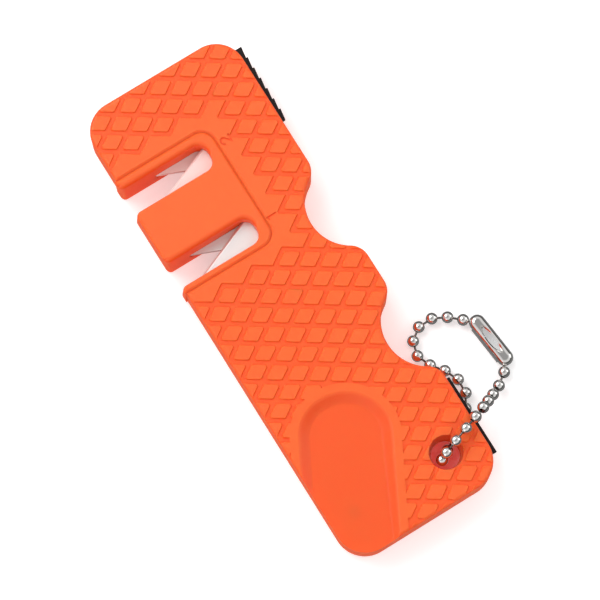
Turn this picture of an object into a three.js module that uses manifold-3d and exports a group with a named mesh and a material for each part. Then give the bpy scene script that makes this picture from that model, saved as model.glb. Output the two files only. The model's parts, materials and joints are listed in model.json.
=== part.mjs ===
// Pocket knife sharpener with two pull-through slots, thumb recess, edge strips and a ball chain.
// Millimetres, +Z out of the front face, +Y towards the slot end, +X towards the finger grooves.
// The rear face lies on z = 0 and the origin is its centre.
import * as THREE from 'three';
import { mergeVertices } from 'three/addons/utils/BufferGeometryUtils.js';
import Module from 'manifold-3d';

// Casing
const BODY_LENGTH = 113;
const BODY_WIDTH = 37.6;
const BODY_THICKNESS = 10;
const CORNER_RADIUS = 6.8;
const EDGE_ROUND = 0.9;
const WALL = 2;
const FACE_PLATE = 2.5;
const SEAM_GAP = 0.2;
const POST_EMBED = 0.6;

// Finger grooves in the right side, placed from the chain end
const GROOVES_FROM_END = [36.2, 67.1];
const GROOVE_DEPTH = 6.7;
const GROOVE_RADIUS = 10;
const GROOVE_SHOULDER_RADIUS = 4.5;

// Thumb recess in the front face
const RECESS_CENTRE_X = -5.95;
const RECESS_FROM_END = 24.4;
const RECESS_TURN = THREE.MathUtils.degToRad(-28);
const RECESS_HALF_WIDTH = 10.3;
const RECESS_ARCH_HEIGHT = 9.5;
const RECESS_DEPTH = 1.5;
const RECESS_SIDE_RUN = 2.3;
const RECESS_TOP_RUN = 2.9;

// Blade cartridge and its two slots, placed from the slot end
const CARTRIDGE_PROUD = 0.3;
const CARTRIDGE_RIGHT_X = 4.05;
const CARTRIDGE_CORNER_RADIUS = 3.2;
const CARTRIDGE_RIM = 1.2;
const CARTRIDGE_CLEARANCE = 0.15;
const FLANGE_REACH = 4.6;
const SLOTS_FROM_END = { carbide: 39.8, ceramic: 20.8 };
const SLOT_END_X = 1.5;
const SLOT_FRONT_WIDTH = 7.5;
const SLOT_REAR_WIDTH = 4.8;
const SLOT_END_RADIUS = 1.9;
const SLOT_MOUTH_RADIUS = 1.2;

// Sharpening plates, crossed in pairs
const PLATE_ANGLE = THREE.MathUtils.degToRad(22.5);
const PLATE_LENGTH = 17;
const PLATE_WIDTH = 7;
const PLATE_EDGE_BEVEL = 0.5;
const PLATE_CLEARANCE = 0.15;
const PLATE_PAIR_GAP = 0.3;
const PLATE_CROSSING_X = { carbide: -6.8, ceramic: -3.9 };
const PLATE_THICKNESS = { carbide: 1.6, ceramic: 2 };
const PLATE_LEAD = 7.3;

// Steel edge strips held between the casing halves
const STRIP_THICKNESS = 1.2;
const TOOTHED_STRIP_PROTRUSION = 1.55;
const PLAIN_STRIP_PROTRUSION = 1.1;
const STRIP_TONGUE = 2.6;
const STRIP_SHOULDER = 1.4;
const STRIP_CLEARANCE = 0.15;
const STRIP_LENGTH = 19;
const TOOTHED_STRIP_FROM_END = 13;
const PLAIN_STRIP_FROM_END = 14.3;
const STRIP_TOOTH_COUNT = 7;
const STRIP_TOOTH_DEPTH = 0.4;
const PEG_RADIUS = 0.8;
const PEG_CLEARANCE = 0.2;
const PEG_SPACING = 16;

// Lanyard hole and the relief under it that lets the casing lie flat on its chain
const HOLE_FROM_SIDE = 8.65;
const HOLE_FROM_END = 9.95;
const HOLE_RADIUS = 3.75;
const HOLE_SLEEVE = 1.6;
const RELIEF_WIDTH = 4.2;
const RELIEF_DEPTH = 3.1;
const RELIEF_COVER = 1.2;
const RELIEF_EXIT_RISE = 6.35;

// Screws from the rear
const SCREW_LEFT_INSET = 5.8;
const SCREW_RIGHT_INSET = 9.8;
const SCREW_TOP_INSET = 6.5;
const SCREW_BOTTOM_INSET = 9.5;
const SCREW_HOLE_DISTANCE = 12;
const SCREW_FLANGE_DISTANCE = 7.15;
const SCREW_HEAD_RADIUS = 1.9;
const SCREW_HEAD_HEIGHT = 1.3;
const SCREW_HEAD_SINK = 0.4;
const SCREW_SHANK_RADIUS = 0.9;
const SCREW_COVER = 0.6;
const SCREW_CLEARANCE = 0.25;
const SCREW_BOSS_WALL = 1.4;
const DRIVE_SPAN = 2;
const DRIVE_WIDTH = 0.5;
const DRIVE_DEPTH = 0.7;

// Ball chain
const BEAD_RADIUS = 1.3;
const BEAD_WALL = 0.15;
const BEAD_OPENING = THREE.MathUtils.degToRad(56);
const LINK_COUNT = 27;
const LINK_ROD_RADIUS = 0.22;
const LINK_HEAD_CLEARANCE = 0.17;
const FLOOR_GAP = 0.05;
const LOOP_REACH = 14;
const LOOP_PAST_GROOVE = 1;
const CONNECTOR_SHEET = 0.3;
const CONNECTOR_CLEARANCE = 0.2;
const CONNECTOR_END = 0.35;
const CONNECTOR_ROD_SLOT = 0.9;
const CONNECTOR_WINDOW_LENGTH = 6.6;
const CONNECTOR_WINDOW_WIDTH = 1.7;

// Mesh fineness
const ARC_STEPS = 8;
const CAVITY_ARC_STEPS = 4;
const EDGE_STEPS = 2;
const ROUND_SIDES = 14;
const HOLE_SIDES = 32;
const BEAD_SIDES = 8;
const BEAD_STEPS = 5;
const HEAD_STEPS = 3;
const BEAD_CAP_ANGLE = THREE.MathUtils.degToRad(27);
const HOLLOW_CAP_ANGLE = THREE.MathUtils.degToRad(45);
const HEAD_CAP_ANGLE = THREE.MathUtils.degToRad(36);
const MERGE_DISTANCE = 1e-4;
const CUT_MARGIN = 1;

// Values worked out from the driving dimensions
const halfWidth = BODY_WIDTH / 2;
const halfLength = BODY_LENGTH / 2;
const seamZ = BODY_THICKNESS / 2;
const cavityTopZ = BODY_THICKNESS - FACE_PLATE;
const groovesY = GROOVES_FROM_END.map((distance) => -halfLength + distance);
const slotsY = {
  carbide: halfLength - SLOTS_FROM_END.carbide,
  ceramic: halfLength - SLOTS_FROM_END.ceramic,
};
const cartridgeLeftX = -halfWidth - CARTRIDGE_PROUD;
const cartridgeBottomY = slotsY.carbide - SLOT_FRONT_WIDTH / 2 - CARTRIDGE_RIM;
const cartridgeTopY = slotsY.ceramic + SLOT_FRONT_WIDTH / 2 + CARTRIDGE_RIM;
const toothedStripY = halfLength - TOOTHED_STRIP_FROM_END;
const plainStripY = -halfLength + PLAIN_STRIP_FROM_END;
const holeX = halfWidth - HOLE_FROM_SIDE;
const holeY = -halfLength + HOLE_FROM_END;
const loopRise = groovesY[0] - holeY + LOOP_PAST_GROOVE;
const screwLeftX = -halfWidth + SCREW_LEFT_INSET;
const screwRightX = halfWidth - SCREW_RIGHT_INSET;
const screwPlaces = [
  [screwLeftX, halfLength - SCREW_TOP_INSET],
  [screwRightX, halfLength - SCREW_TOP_INSET],
  [screwLeftX, cartridgeBottomY - FLANGE_REACH - SCREW_FLANGE_DISTANCE],
  [screwRightX, holeY + SCREW_HOLE_DISTANCE],
  [screwLeftX, -halfLength + SCREW_BOTTOM_INSET],
];
const screwTopZ = BODY_THICKNESS - RECESS_DEPTH - SCREW_COVER;
const beadTopZ = BODY_THICKNESS + BEAD_RADIUS;
const floorBeadZ = BEAD_RADIUS + FLOOR_GAP;
const connectorHeight = 2 * BEAD_RADIUS + CONNECTOR_CLEARANCE + CONNECTOR_SHEET;
const connectorBeadZ = connectorHeight - CONNECTOR_SHEET - CONNECTOR_CLEARANCE - BEAD_RADIUS;

const wasm = await Module();
wasm.setup();

const ORANGE = { color: 0xff7340, roughness: 0.5, metalness: 0 };
const BLACK_STEEL = { color: 0x1c1815, roughness: 0.45, metalness: 0.7 };
const CARBIDE = { color: 0xb9b6b2, roughness: 0.3, metalness: 0.9 };
const CERAMIC = { color: 0xf4efe9, roughness: 0.5, metalness: 0 };
const NICKEL = { color: 0xd8d6d2, roughness: 0.15, metalness: 1 };

// Closed three.js geometry to a solid and back
function solid(geometry) {
  const bare = geometry.clone();
  bare.deleteAttribute('normal');
  bare.deleteAttribute('uv');
  const merged = mergeVertices(bare, MERGE_DISTANCE);
  return new wasm.Manifold(new wasm.Mesh({
    numProp: 3,
    vertProperties: new Float32Array(merged.attributes.position.array),
    triVerts: new Uint32Array(merged.index.array),
  }));
}

function geometryOf(manifold) {
  const mesh = manifold.getMesh();
  const geometry = new THREE.BufferGeometry();
  geometry.setAttribute('position', new THREE.BufferAttribute(mesh.vertProperties, 3));
  geometry.setIndex(new THREE.BufferAttribute(mesh.triVerts, 1));
  geometry.computeVertexNormals();
  return geometry;
}

const part = new THREE.Group();

function addNode(name, geometry, finish) {
  const mesh = new THREE.Mesh(geometry, new THREE.MeshStandardMaterial(finish));
  mesh.name = name;
  part.add(mesh);
  return mesh;
}

// Basic solids
function slab(x0, x1, y0, y1, z0, z1) {
  const box = new THREE.BoxGeometry(x1 - x0, y1 - y0, z1 - z0);
  return solid(box.translate((x0 + x1) / 2, (y0 + y1) / 2, (z0 + z1) / 2));
}

function post(x, y, radius, z0, z1, sides = ROUND_SIDES) {
  const cylinder = new THREE.CylinderGeometry(radius, radius, z1 - z0, sides);
  return solid(cylinder.rotateX(Math.PI / 2).translate(x, y, (z0 + z1) / 2));
}

function prism(shape, z0, z1, curveSegments = ARC_STEPS) {
  const settings = { depth: z1 - z0, bevelEnabled: false, curveSegments };
  return solid(new THREE.ExtrudeGeometry(shape, settings).translate(0, 0, z0));
}

// Solid between two outlines with equally many points, for walls that lean
function leaningPrism(lower, upper, z0, z1) {
  const count = lower.length;
  const cap = THREE.ShapeUtils.triangulateShape(lower, []);
  const points = [
    ...lower.map((p) => new THREE.Vector3(p.x, p.y, z0)),
    ...upper.map((p) => new THREE.Vector3(p.x, p.y, z1)),
  ];
  const faces = [];
  for (const [a, b, c] of cap) {
    faces.push(c, b, a, a + count, b + count, c + count);
  }
  for (let i = 0; i < count; i += 1) {
    const next = (i + 1) % count;
    faces.push(i, next, next + count, i, next + count, i + count);
  }
  const geometry = new THREE.BufferGeometry().setFromPoints(points);
  geometry.setIndex(faces);
  return solid(geometry);
}

function arcPoints(x, y, radius, from, to, steps = ARC_STEPS) {
  const points = [];
  for (let i = 0; i <= steps; i += 1) {
    const angle = from + ((to - from) * i) / steps;
    points.push(new THREE.Vector2(x + radius * Math.cos(angle), y + radius * Math.sin(angle)));
  }
  return points;
}

// Casing outline, drawn in by inset for the cavity, counter-clockwise from the lower right corner
function casingOutline(inset) {
  const shape = new THREE.Shape();
  const side = halfWidth - inset;
  const cornerX = halfWidth - CORNER_RADIUS;
  const cornerY = halfLength - CORNER_RADIUS;
  const corner = CORNER_RADIUS - inset;
  const shoulder = GROOVE_SHOULDER_RADIUS - inset;
  const shoulderX = halfWidth - GROOVE_SHOULDER_RADIUS;
  const grooveX = halfWidth + GROOVE_RADIUS - GROOVE_DEPTH;
  const reach = GROOVE_RADIUS + GROOVE_SHOULDER_RADIUS;
  const rise = Math.sqrt(reach ** 2 - (grooveX - shoulderX) ** 2);
  const lean = Math.acos((grooveX - shoulderX) / reach);
  shape.absarc(cornerX, -cornerY, corner, -Math.PI / 2, 0);
  for (const y of groovesY) {
    shape.absarc(shoulderX, y - rise, shoulder, 0, lean);
    shape.absarc(grooveX, y, GROOVE_RADIUS + inset, Math.PI + lean, Math.PI - lean, true);
    shape.absarc(shoulderX, y + rise, shoulder, -lean, 0);
  }
  shape.lineTo(side, cornerY);
  shape.absarc(cornerX, cornerY, corner, 0, Math.PI / 2);
  shape.absarc(-cornerX, cornerY, corner, Math.PI / 2, Math.PI);
  shape.absarc(-cornerX, -cornerY, corner, Math.PI, 1.5 * Math.PI);
  shape.closePath();
  return shape;
}

// Cartridge outline seen from the front, with its two right corners round
function cartridgeOutline(left, right, bottom, top, radius) {
  const shape = new THREE.Shape();
  shape.absarc(right - radius, bottom + radius, radius, -Math.PI / 2, 0);
  shape.absarc(right - radius, top - radius, radius, 0, Math.PI / 2);
  shape.lineTo(left, top);
  shape.lineTo(left, bottom);
  shape.closePath();
  return shape;
}

// One slot's plan outline, open past the left side with a flared mouth
function slotOutline(centreY, width) {
  const half = width / 2;
  const end = SLOT_END_X - SLOT_END_RADIUS;
  const mouthX = cartridgeLeftX + SLOT_MOUTH_RADIUS;
  const mouthY = half + SLOT_MOUTH_RADIUS;
  const lower = [
    new THREE.Vector2(cartridgeLeftX - CUT_MARGIN, -mouthY),
    ...arcPoints(mouthX, -mouthY, SLOT_MOUTH_RADIUS, Math.PI, Math.PI / 2),
    ...arcPoints(end, -half + SLOT_END_RADIUS, SLOT_END_RADIUS, -Math.PI / 2, 0),
  ];
  const upper = lower.map((p) => new THREE.Vector2(p.x, -p.y)).reverse();
  return [...lower, ...upper].map((p) => p.add(new THREE.Vector2(0, centreY)));
}

function slotCut(centreY) {
  const widthAt = (z) => SLOT_REAR_WIDTH + ((SLOT_FRONT_WIDTH - SLOT_REAR_WIDTH) * z) / BODY_THICKNESS;
  const low = -CUT_MARGIN;
  const high = BODY_THICKNESS + CUT_MARGIN;
  return leaningPrism(slotOutline(centreY, widthAt(low)), slotOutline(centreY, widthAt(high)), low, high);
}

// Thumb recess: an arch whose sides run on past the casing's edge
function recessOutline(share) {
  const halfSpan = RECESS_HALF_WIDTH - RECESS_SIDE_RUN * (1 - share);
  const arch = RECESS_ARCH_HEIGHT - RECESS_TOP_RUN * (1 - share);
  const points = [new THREE.Vector2(-halfSpan, -halfLength), new THREE.Vector2(halfSpan, -halfLength)];
  const steps = 2 * ARC_STEPS;
  for (let i = 0; i <= steps; i += 1) {
    const angle = (Math.PI * i) / steps;
    points.push(new THREE.Vector2(halfSpan * Math.cos(angle), arch * Math.sin(angle)));
  }
  const origin = new THREE.Vector2();
  const centre = new THREE.Vector2(RECESS_CENTRE_X, -halfLength + RECESS_FROM_END);
  return points.map((p) => p.rotateAround(origin, RECESS_TURN).add(centre));
}

function recessCut() {
  const floorZ = BODY_THICKNESS - RECESS_DEPTH;
  const topShare = 1 + CUT_MARGIN / RECESS_DEPTH;
  return leaningPrism(recessOutline(0), recessOutline(topShare), floorZ, BODY_THICKNESS + CUT_MARGIN);
}

// One strip's outline: a visible edge, a wider tongue inside the wall and an optional row of teeth
function stripOutline(centreY, toothed, grow) {
  const wallInside = halfWidth - WALL - STRIP_CLEARANCE;
  const outside = halfWidth + (toothed ? TOOTHED_STRIP_PROTRUSION : PLAIN_STRIP_PROTRUSION) + grow;
  const half = STRIP_LENGTH / 2 + grow;
  const shoulder = half + STRIP_SHOULDER;
  const points = [
    [wallInside - STRIP_TONGUE - grow, -shoulder],
    [wallInside + grow, -shoulder],
    [wallInside + grow, -half],
  ];
  const pitch = STRIP_LENGTH / STRIP_TOOTH_COUNT;
  for (let i = 0; toothed && i < STRIP_TOOTH_COUNT; i += 1) {
    points.push([outside - STRIP_TOOTH_DEPTH, -half + pitch * i]);
    points.push([outside, -half + pitch * (i + 1)]);
  }
  if (!toothed) points.push([outside, -half], [outside, half]);
  points.push([wallInside + grow, half]);
  points.push([wallInside + grow, shoulder]);
  points.push([wallInside - STRIP_TONGUE - grow, shoulder]);
  return new THREE.Shape(points.map(([x, y]) => new THREE.Vector2(x, centreY + y)));
}

const stripLowZ = seamZ - STRIP_THICKNESS / 2;
const stripHighZ = seamZ + STRIP_THICKNESS / 2;
const pegEndZ = stripLowZ - STRIP_THICKNESS;
const pegX = halfWidth - WALL - STRIP_CLEARANCE - STRIP_TONGUE / 2;
const pegPlaces = [toothedStripY, plainStripY].flatMap(
  (y) => [[pegX, y - PEG_SPACING / 2], [pegX, y + PEG_SPACING / 2]],
);

function edgeStrip(centreY, toothed) {
  let strip = prism(stripOutline(centreY, toothed, 0), stripLowZ, stripHighZ);
  for (const [x, y] of pegPlaces) {
    const hole = post(x, y, PEG_RADIUS + PEG_CLEARANCE, stripLowZ - CUT_MARGIN, stripHighZ + CUT_MARGIN);
    strip = strip.subtract(hole);
  }
  return strip;
}

function stripSlot(centreY) {
  const outline = stripOutline(centreY, false, STRIP_CLEARANCE);
  return prism(outline, stripLowZ - STRIP_CLEARANCE, stripHighZ + STRIP_CLEARANCE);
}

// Screws, entered from the rear into bosses of the front half
function screw(x, y) {
  const headTop = SCREW_HEAD_SINK + SCREW_HEAD_HEIGHT;
  const shank = post(x, y, SCREW_SHANK_RADIUS, headTop - SCREW_HEAD_HEIGHT / 2, screwTopZ);
  const head = post(x, y, SCREW_HEAD_RADIUS, SCREW_HEAD_SINK, headTop);
  const half = DRIVE_SPAN / 2;
  const slim = DRIVE_WIDTH / 2;
  const driveLow = SCREW_HEAD_SINK - CUT_MARGIN;
  const driveHigh = SCREW_HEAD_SINK + DRIVE_DEPTH;
  const lengthwise = slab(x - half, x + half, y - slim, y + slim, driveLow, driveHigh);
  const crosswise = slab(x - slim, x + slim, y - half, y + half, driveLow, driveHigh);
  return head.add(shank).subtract(lengthwise).subtract(crosswise);
}

function screwCut(x, y) {
  const seat = SCREW_HEAD_SINK + SCREW_HEAD_HEIGHT + SCREW_CLEARANCE;
  const counterbore = post(x, y, SCREW_HEAD_RADIUS + SCREW_CLEARANCE, -CUT_MARGIN, seat);
  const pilot = post(x, y, SCREW_SHANK_RADIUS + SCREW_CLEARANCE, 0, screwTopZ + SCREW_CLEARANCE);
  return counterbore.add(pilot);
}

// Relief channel on the rear face, from the hole out through the right side
function reliefBar(width, z0, z1) {
  const along = new THREE.Vector2(halfWidth - holeX, RELIEF_EXIT_RISE);
  const length = along.length() + CUT_MARGIN + width;
  const shape = new THREE.Shape([
    new THREE.Vector2(0, -width / 2),
    new THREE.Vector2(length, -width / 2),
    new THREE.Vector2(length, width / 2),
    new THREE.Vector2(0, width / 2),
  ]);
  const settings = { depth: z1 - z0, bevelEnabled: false };
  const bar = new THREE.ExtrudeGeometry(shape, settings).rotateZ(along.angle());
  return solid(bar.translate(holeX, holeY, z0));
}

// Casing, hollow with its inner posts, then parted at the seam
function casing() {
  const settings = {
    depth: BODY_THICKNESS - 2 * EDGE_ROUND,
    curveSegments: ARC_STEPS,
    bevelSize: EDGE_ROUND,
    bevelThickness: EDGE_ROUND,
    bevelOffset: -EDGE_ROUND,
    bevelSegments: EDGE_STEPS,
  };
  const outside = solid(new THREE.ExtrudeGeometry(casingOutline(0), settings).translate(0, 0, EDGE_ROUND));
  let body = outside.subtract(prism(casingOutline(WALL), FACE_PLATE, cavityTopZ, CAVITY_ARC_STEPS));
  const postLowZ = FACE_PLATE - POST_EMBED;
  const postHighZ = cavityTopZ + POST_EMBED;
  const bossRadius = SCREW_SHANK_RADIUS + SCREW_CLEARANCE + SCREW_BOSS_WALL;
  for (const [x, y] of screwPlaces) {
    body = body.add(post(x, y, bossRadius, postLowZ, postHighZ));
  }
  body = body.add(post(holeX, holeY, HOLE_RADIUS + HOLE_SLEEVE, postLowZ, postHighZ));
  const ridge = reliefBar(RELIEF_WIDTH + 2 * RELIEF_COVER, postLowZ, RELIEF_DEPTH + RELIEF_COVER);
  body = body.add(ridge.intersect(outside));
  const window = cartridgeOutline(
    cartridgeLeftX - CUT_MARGIN,
    CARTRIDGE_RIGHT_X + CARTRIDGE_CLEARANCE,
    cartridgeBottomY - CARTRIDGE_CLEARANCE,
    cartridgeTopY + CARTRIDGE_CLEARANCE,
    CARTRIDGE_CORNER_RADIUS + CARTRIDGE_CLEARANCE,
  );
  const cuts = [
    prism(window, -CUT_MARGIN, BODY_THICKNESS + CUT_MARGIN),
    post(holeX, holeY, HOLE_RADIUS, -CUT_MARGIN, BODY_THICKNESS + CUT_MARGIN, HOLE_SIDES),
    reliefBar(RELIEF_WIDTH, -CUT_MARGIN, RELIEF_DEPTH),
    recessCut(),
    stripSlot(toothedStripY),
    stripSlot(plainStripY),
    ...screwPlaces.map(([x, y]) => screwCut(x, y)),
  ];
  return cuts.reduce((rest, cut) => rest.subtract(cut), body);
}

function halfSpace(z0, z1) {
  return slab(-BODY_LENGTH, BODY_LENGTH, -BODY_LENGTH, BODY_LENGTH, z0, z1);
}

function frontShell(whole) {
  let shell = whole.subtract(halfSpace(-CUT_MARGIN, seamZ + SEAM_GAP / 2));
  for (const [x, y] of pegPlaces) {
    shell = shell.add(post(x, y, PEG_RADIUS, pegEndZ, cavityTopZ + POST_EMBED));
  }
  return shell;
}

function rearShell(whole) {
  let shell = whole.subtract(halfSpace(seamZ - SEAM_GAP / 2, BODY_THICKNESS + CUT_MARGIN));
  for (const [x, y] of pegPlaces) {
    shell = shell.subtract(post(x, y, PEG_RADIUS + PEG_CLEARANCE, pegEndZ - PEG_CLEARANCE, seamZ));
  }
  return shell;
}

// Sharpening plate: a bar with one bevelled working edge along its own X axis
function plateBar(kind, grow) {
  const thickness = PLATE_THICKNESS[kind];
  const bevel = grow > 0 ? 0 : PLATE_EDGE_BEVEL;
  const section = new THREE.Shape([
    new THREE.Vector2(PLATE_WIDTH + grow, -grow),
    new THREE.Vector2(PLATE_WIDTH + grow, thickness + grow),
    new THREE.Vector2(bevel - grow, thickness + grow),
    new THREE.Vector2(-grow, thickness - bevel + grow),
    new THREE.Vector2(-grow, -grow),
  ]);
  const settings = { depth: PLATE_LENGTH + 2 * grow, bevelEnabled: false };
  const startZ = PLATE_LEAD - PLATE_LENGTH - grow;
  const bar = new THREE.ExtrudeGeometry(section, settings).translate(0, 0, startZ);
  const frame = new THREE.Matrix4().makeBasis(
    new THREE.Vector3(0, -1, 0),
    new THREE.Vector3(0, 0, 1),
    new THREE.Vector3(-1, 0, 0),
  );
  return bar.applyMatrix4(frame);
}

// The front plate of a pair lies over the seam and the rear one is its half turn about the slot
function plate(kind, isFront, grow) {
  const bar = plateBar(kind, grow).rotateZ(PLATE_ANGLE).translate(0, 0, PLATE_PAIR_GAP / 2);
  if (!isFront) bar.rotateX(Math.PI);
  return solid(bar.translate(PLATE_CROSSING_X[kind], slotsY[kind], seamZ));
}

function cartridge() {
  const outline = cartridgeOutline(
    cartridgeLeftX,
    CARTRIDGE_RIGHT_X,
    cartridgeBottomY,
    cartridgeTopY,
    CARTRIDGE_CORNER_RADIUS,
  );
  const flange = cartridgeOutline(
    -halfWidth + WALL + CARTRIDGE_CLEARANCE,
    CARTRIDGE_RIGHT_X + FLANGE_REACH,
    cartridgeBottomY - FLANGE_REACH,
    cartridgeTopY + FLANGE_REACH,
    CARTRIDGE_CORNER_RADIUS,
  );
  const flangeLowZ = FACE_PLATE + CARTRIDGE_CLEARANCE;
  const flangeHighZ = cavityTopZ - CARTRIDGE_CLEARANCE;
  let block = prism(outline, 0, BODY_THICKNESS).add(prism(flange, flangeLowZ, flangeHighZ));
  for (const [kind, y] of Object.entries(slotsY)) {
    block = block.subtract(slotCut(y));
    block = block.subtract(plate(kind, true, PLATE_CLEARANCE));
    block = block.subtract(plate(kind, false, PLATE_CLEARANCE));
  }
  return block;
}

// Chain route, once round from the connector under the casing, up the hole and back over the edge.
// Free points are shares of the loop's reach and rise, covered ones of the way from the hole to the
// right side, and points in the hole are shares of its radius.
const risen = (share) => THREE.MathUtils.lerp(floorBeadZ, beadTopZ, share);
const free = (x, y, z) => [halfWidth + x * LOOP_REACH, holeY + y * loopRise, z];
const covered = (x, y, z) => [holeX + x * HOLE_FROM_SIDE, holeY + y * HOLE_FROM_SIDE, z];
const inHole = (x, y, share) => [holeX + x * HOLE_RADIUS, holeY + y * HOLE_RADIUS, risen(share)];
const chainRoute = new THREE.CatmullRomCurve3([
  free(0.936, 0.761, connectorBeadZ),
  free(0.779, 0.853, floorBeadZ),
  free(0.571, 0.945, floorBeadZ),
  free(0.321, 1, floorBeadZ),
  free(0.071, 0.978, floorBeadZ),
  free(-0.1, 0.883, floorBeadZ),
  free(-0.114, 0.754, floorBeadZ),
  free(0.029, 0.64, floorBeadZ),
  free(0.171, 0.534, floorBeadZ),
  free(0.221, 0.409, floorBeadZ),
  free(0.143, 0.288, floorBeadZ),
  covered(0.931, 0.618, floorBeadZ),
  covered(0.561, 0.364, floorBeadZ),
  inHole(0.44, 0.307, 0.075),
  inHole(-0.227, -0.093, 0.296),
  inHole(-0.387, -0.2, 0.578),
  inHole(-0.227, -0.12, 0.849),
  inHole(0.333, 0.067, 1.05),
  covered(0.561, 0.179, risen(1.08)),
  covered(1.012, 0.329, risen(1.03)),
  free(0.25, 0.152, risen(0.8)),
  free(0.393, 0.185, risen(0.518)),
  free(0.55, 0.222, risen(0.236)),
  free(0.729, 0.27, risen(0.045)),
  free(0.9, 0.343, floorBeadZ),
  free(1, 0.435, connectorBeadZ),
].map((place) => new THREE.Vector3(...place)));

// One link: a hollow ball that takes the last link's head, with a rod and head of its own
function linkGeometry(length, isFirst, isLast) {
  const hollow = BEAD_RADIUS - BEAD_WALL;
  const rodAngle = Math.asin(LINK_ROD_RADIUS / BEAD_RADIUS);
  const arc = (radius, centre, from, to, steps) => arcPoints(0, 0, radius, from, to, steps)
    .map((p) => new THREE.Vector2(Math.abs(p.y), centre + p.x));
  const points = [];
  if (isFirst) {
    points.push(new THREE.Vector2(0, -BEAD_RADIUS));
    points.push(...arc(BEAD_RADIUS, 0, Math.PI - BEAD_CAP_ANGLE, rodAngle, BEAD_STEPS));
  } else {
    const mouth = Math.PI - BEAD_OPENING;
    points.push(new THREE.Vector2(0, hollow));
    points.push(...arc(hollow, 0, HOLLOW_CAP_ANGLE, mouth, HEAD_STEPS));
    points.push(...arc(BEAD_RADIUS, 0, mouth, isLast ? BEAD_CAP_ANGLE : rodAngle, BEAD_STEPS));
  }
  if (isLast) {
    points.push(new THREE.Vector2(0, BEAD_RADIUS));
  } else {
    const head = hollow - LINK_HEAD_CLEARANCE;
    const neck = Math.asin(LINK_ROD_RADIUS / head);
    points.push(...arc(head, length, Math.PI - neck, HEAD_CAP_ANGLE, HEAD_STEPS));
    points.push(new THREE.Vector2(0, length + head));
  }
  return new THREE.LatheGeometry(points, BEAD_SIDES);
}

function addChain() {
  const places = chainRoute.getSpacedPoints(LINK_COUNT - 1);
  for (let i = 0; i < LINK_COUNT; i += 1) {
    const isLast = i === LINK_COUNT - 1;
    const heading = isLast ? places[i].clone().sub(places[i - 1]) : places[i + 1].clone().sub(places[i]);
    const mesh = addNode(
      `chain_link_${String(i + 1).padStart(2, '0')}`,
      geometryOf(solid(linkGeometry(heading.length(), i === 0, isLast))),
      NICKEL,
    );
    mesh.position.copy(places[i]);
    mesh.quaternion.setFromUnitVectors(new THREE.Vector3(0, 1, 0), heading.normalize());
  }
  addConnector(places[LINK_COUNT - 1], places[0]);
}

// Connector: a folded sheet trough over the two end balls, with a window on top
function stadium(length, width) {
  const shape = new THREE.Shape();
  shape.absarc(length / 2, 0, width / 2, -Math.PI / 2, Math.PI / 2);
  shape.absarc(-length / 2, 0, width / 2, Math.PI / 2, 1.5 * Math.PI);
  shape.closePath();
  return shape;
}

function addConnector(from, to) {
  const span = to.clone().sub(from).setZ(0);
  const length = span.length() + 2 * CONNECTOR_END;
  const inside = 2 * (BEAD_RADIUS + CONNECTOR_CLEARANCE);
  const outside = inside + 2 * CONNECTOR_SHEET;
  const reach = length / 2 + outside;
  const mouth = span.length() / 2;
  const mouthTop = connectorBeadZ + CONNECTOR_ROD_SLOT / 2;
  const roof = connectorHeight - CONNECTOR_SHEET;
  const window = stadium(CONNECTOR_WINDOW_LENGTH - CONNECTOR_WINDOW_WIDTH, CONNECTOR_WINDOW_WIDTH);
  const trough = prism(stadium(length, outside), 0, connectorHeight)
    .subtract(prism(stadium(length, inside), -CUT_MARGIN, roof))
    .subtract(prism(window, 0, connectorHeight + CUT_MARGIN))
    .subtract(slab(mouth, reach, -outside, outside, -CUT_MARGIN, mouthTop))
    .subtract(slab(-reach, -mouth, -outside, outside, -CUT_MARGIN, mouthTop));
  const mesh = addNode('chain_connector', geometryOf(trough), NICKEL);
  mesh.position.copy(from).add(to).multiplyScalar(0.5).setZ(0);
  mesh.rotation.z = Math.atan2(span.y, span.x);
}

// Assembly
const whole = casing();
addNode('front_shell', geometryOf(frontShell(whole)), ORANGE);
addNode('rear_shell', geometryOf(rearShell(whole)), ORANGE);
addNode('blade_cartridge', geometryOf(cartridge()), ORANGE);
addNode('carbide_plate_front', geometryOf(plate('carbide', true, 0)), CARBIDE);
addNode('carbide_plate_rear', geometryOf(plate('carbide', false, 0)), CARBIDE);
addNode('ceramic_plate_front', geometryOf(plate('ceramic', true, 0)), CERAMIC);
addNode('ceramic_plate_rear', geometryOf(plate('ceramic', false, 0)), CERAMIC);
addNode('toothed_strip', geometryOf(edgeStrip(toothedStripY, true)), BLACK_STEEL);
addNode('plain_strip', geometryOf(edgeStrip(plainStripY, false)), BLACK_STEEL);
screwPlaces.forEach(([x, y], i) => {
  addNode(`shell_screw_${i + 1}`, geometryOf(screw(x, y)), NICKEL);
});
addChain();

export default part;
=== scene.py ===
import json
import math

import bmesh
import bpy
from mathutils import Matrix, Vector


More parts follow.
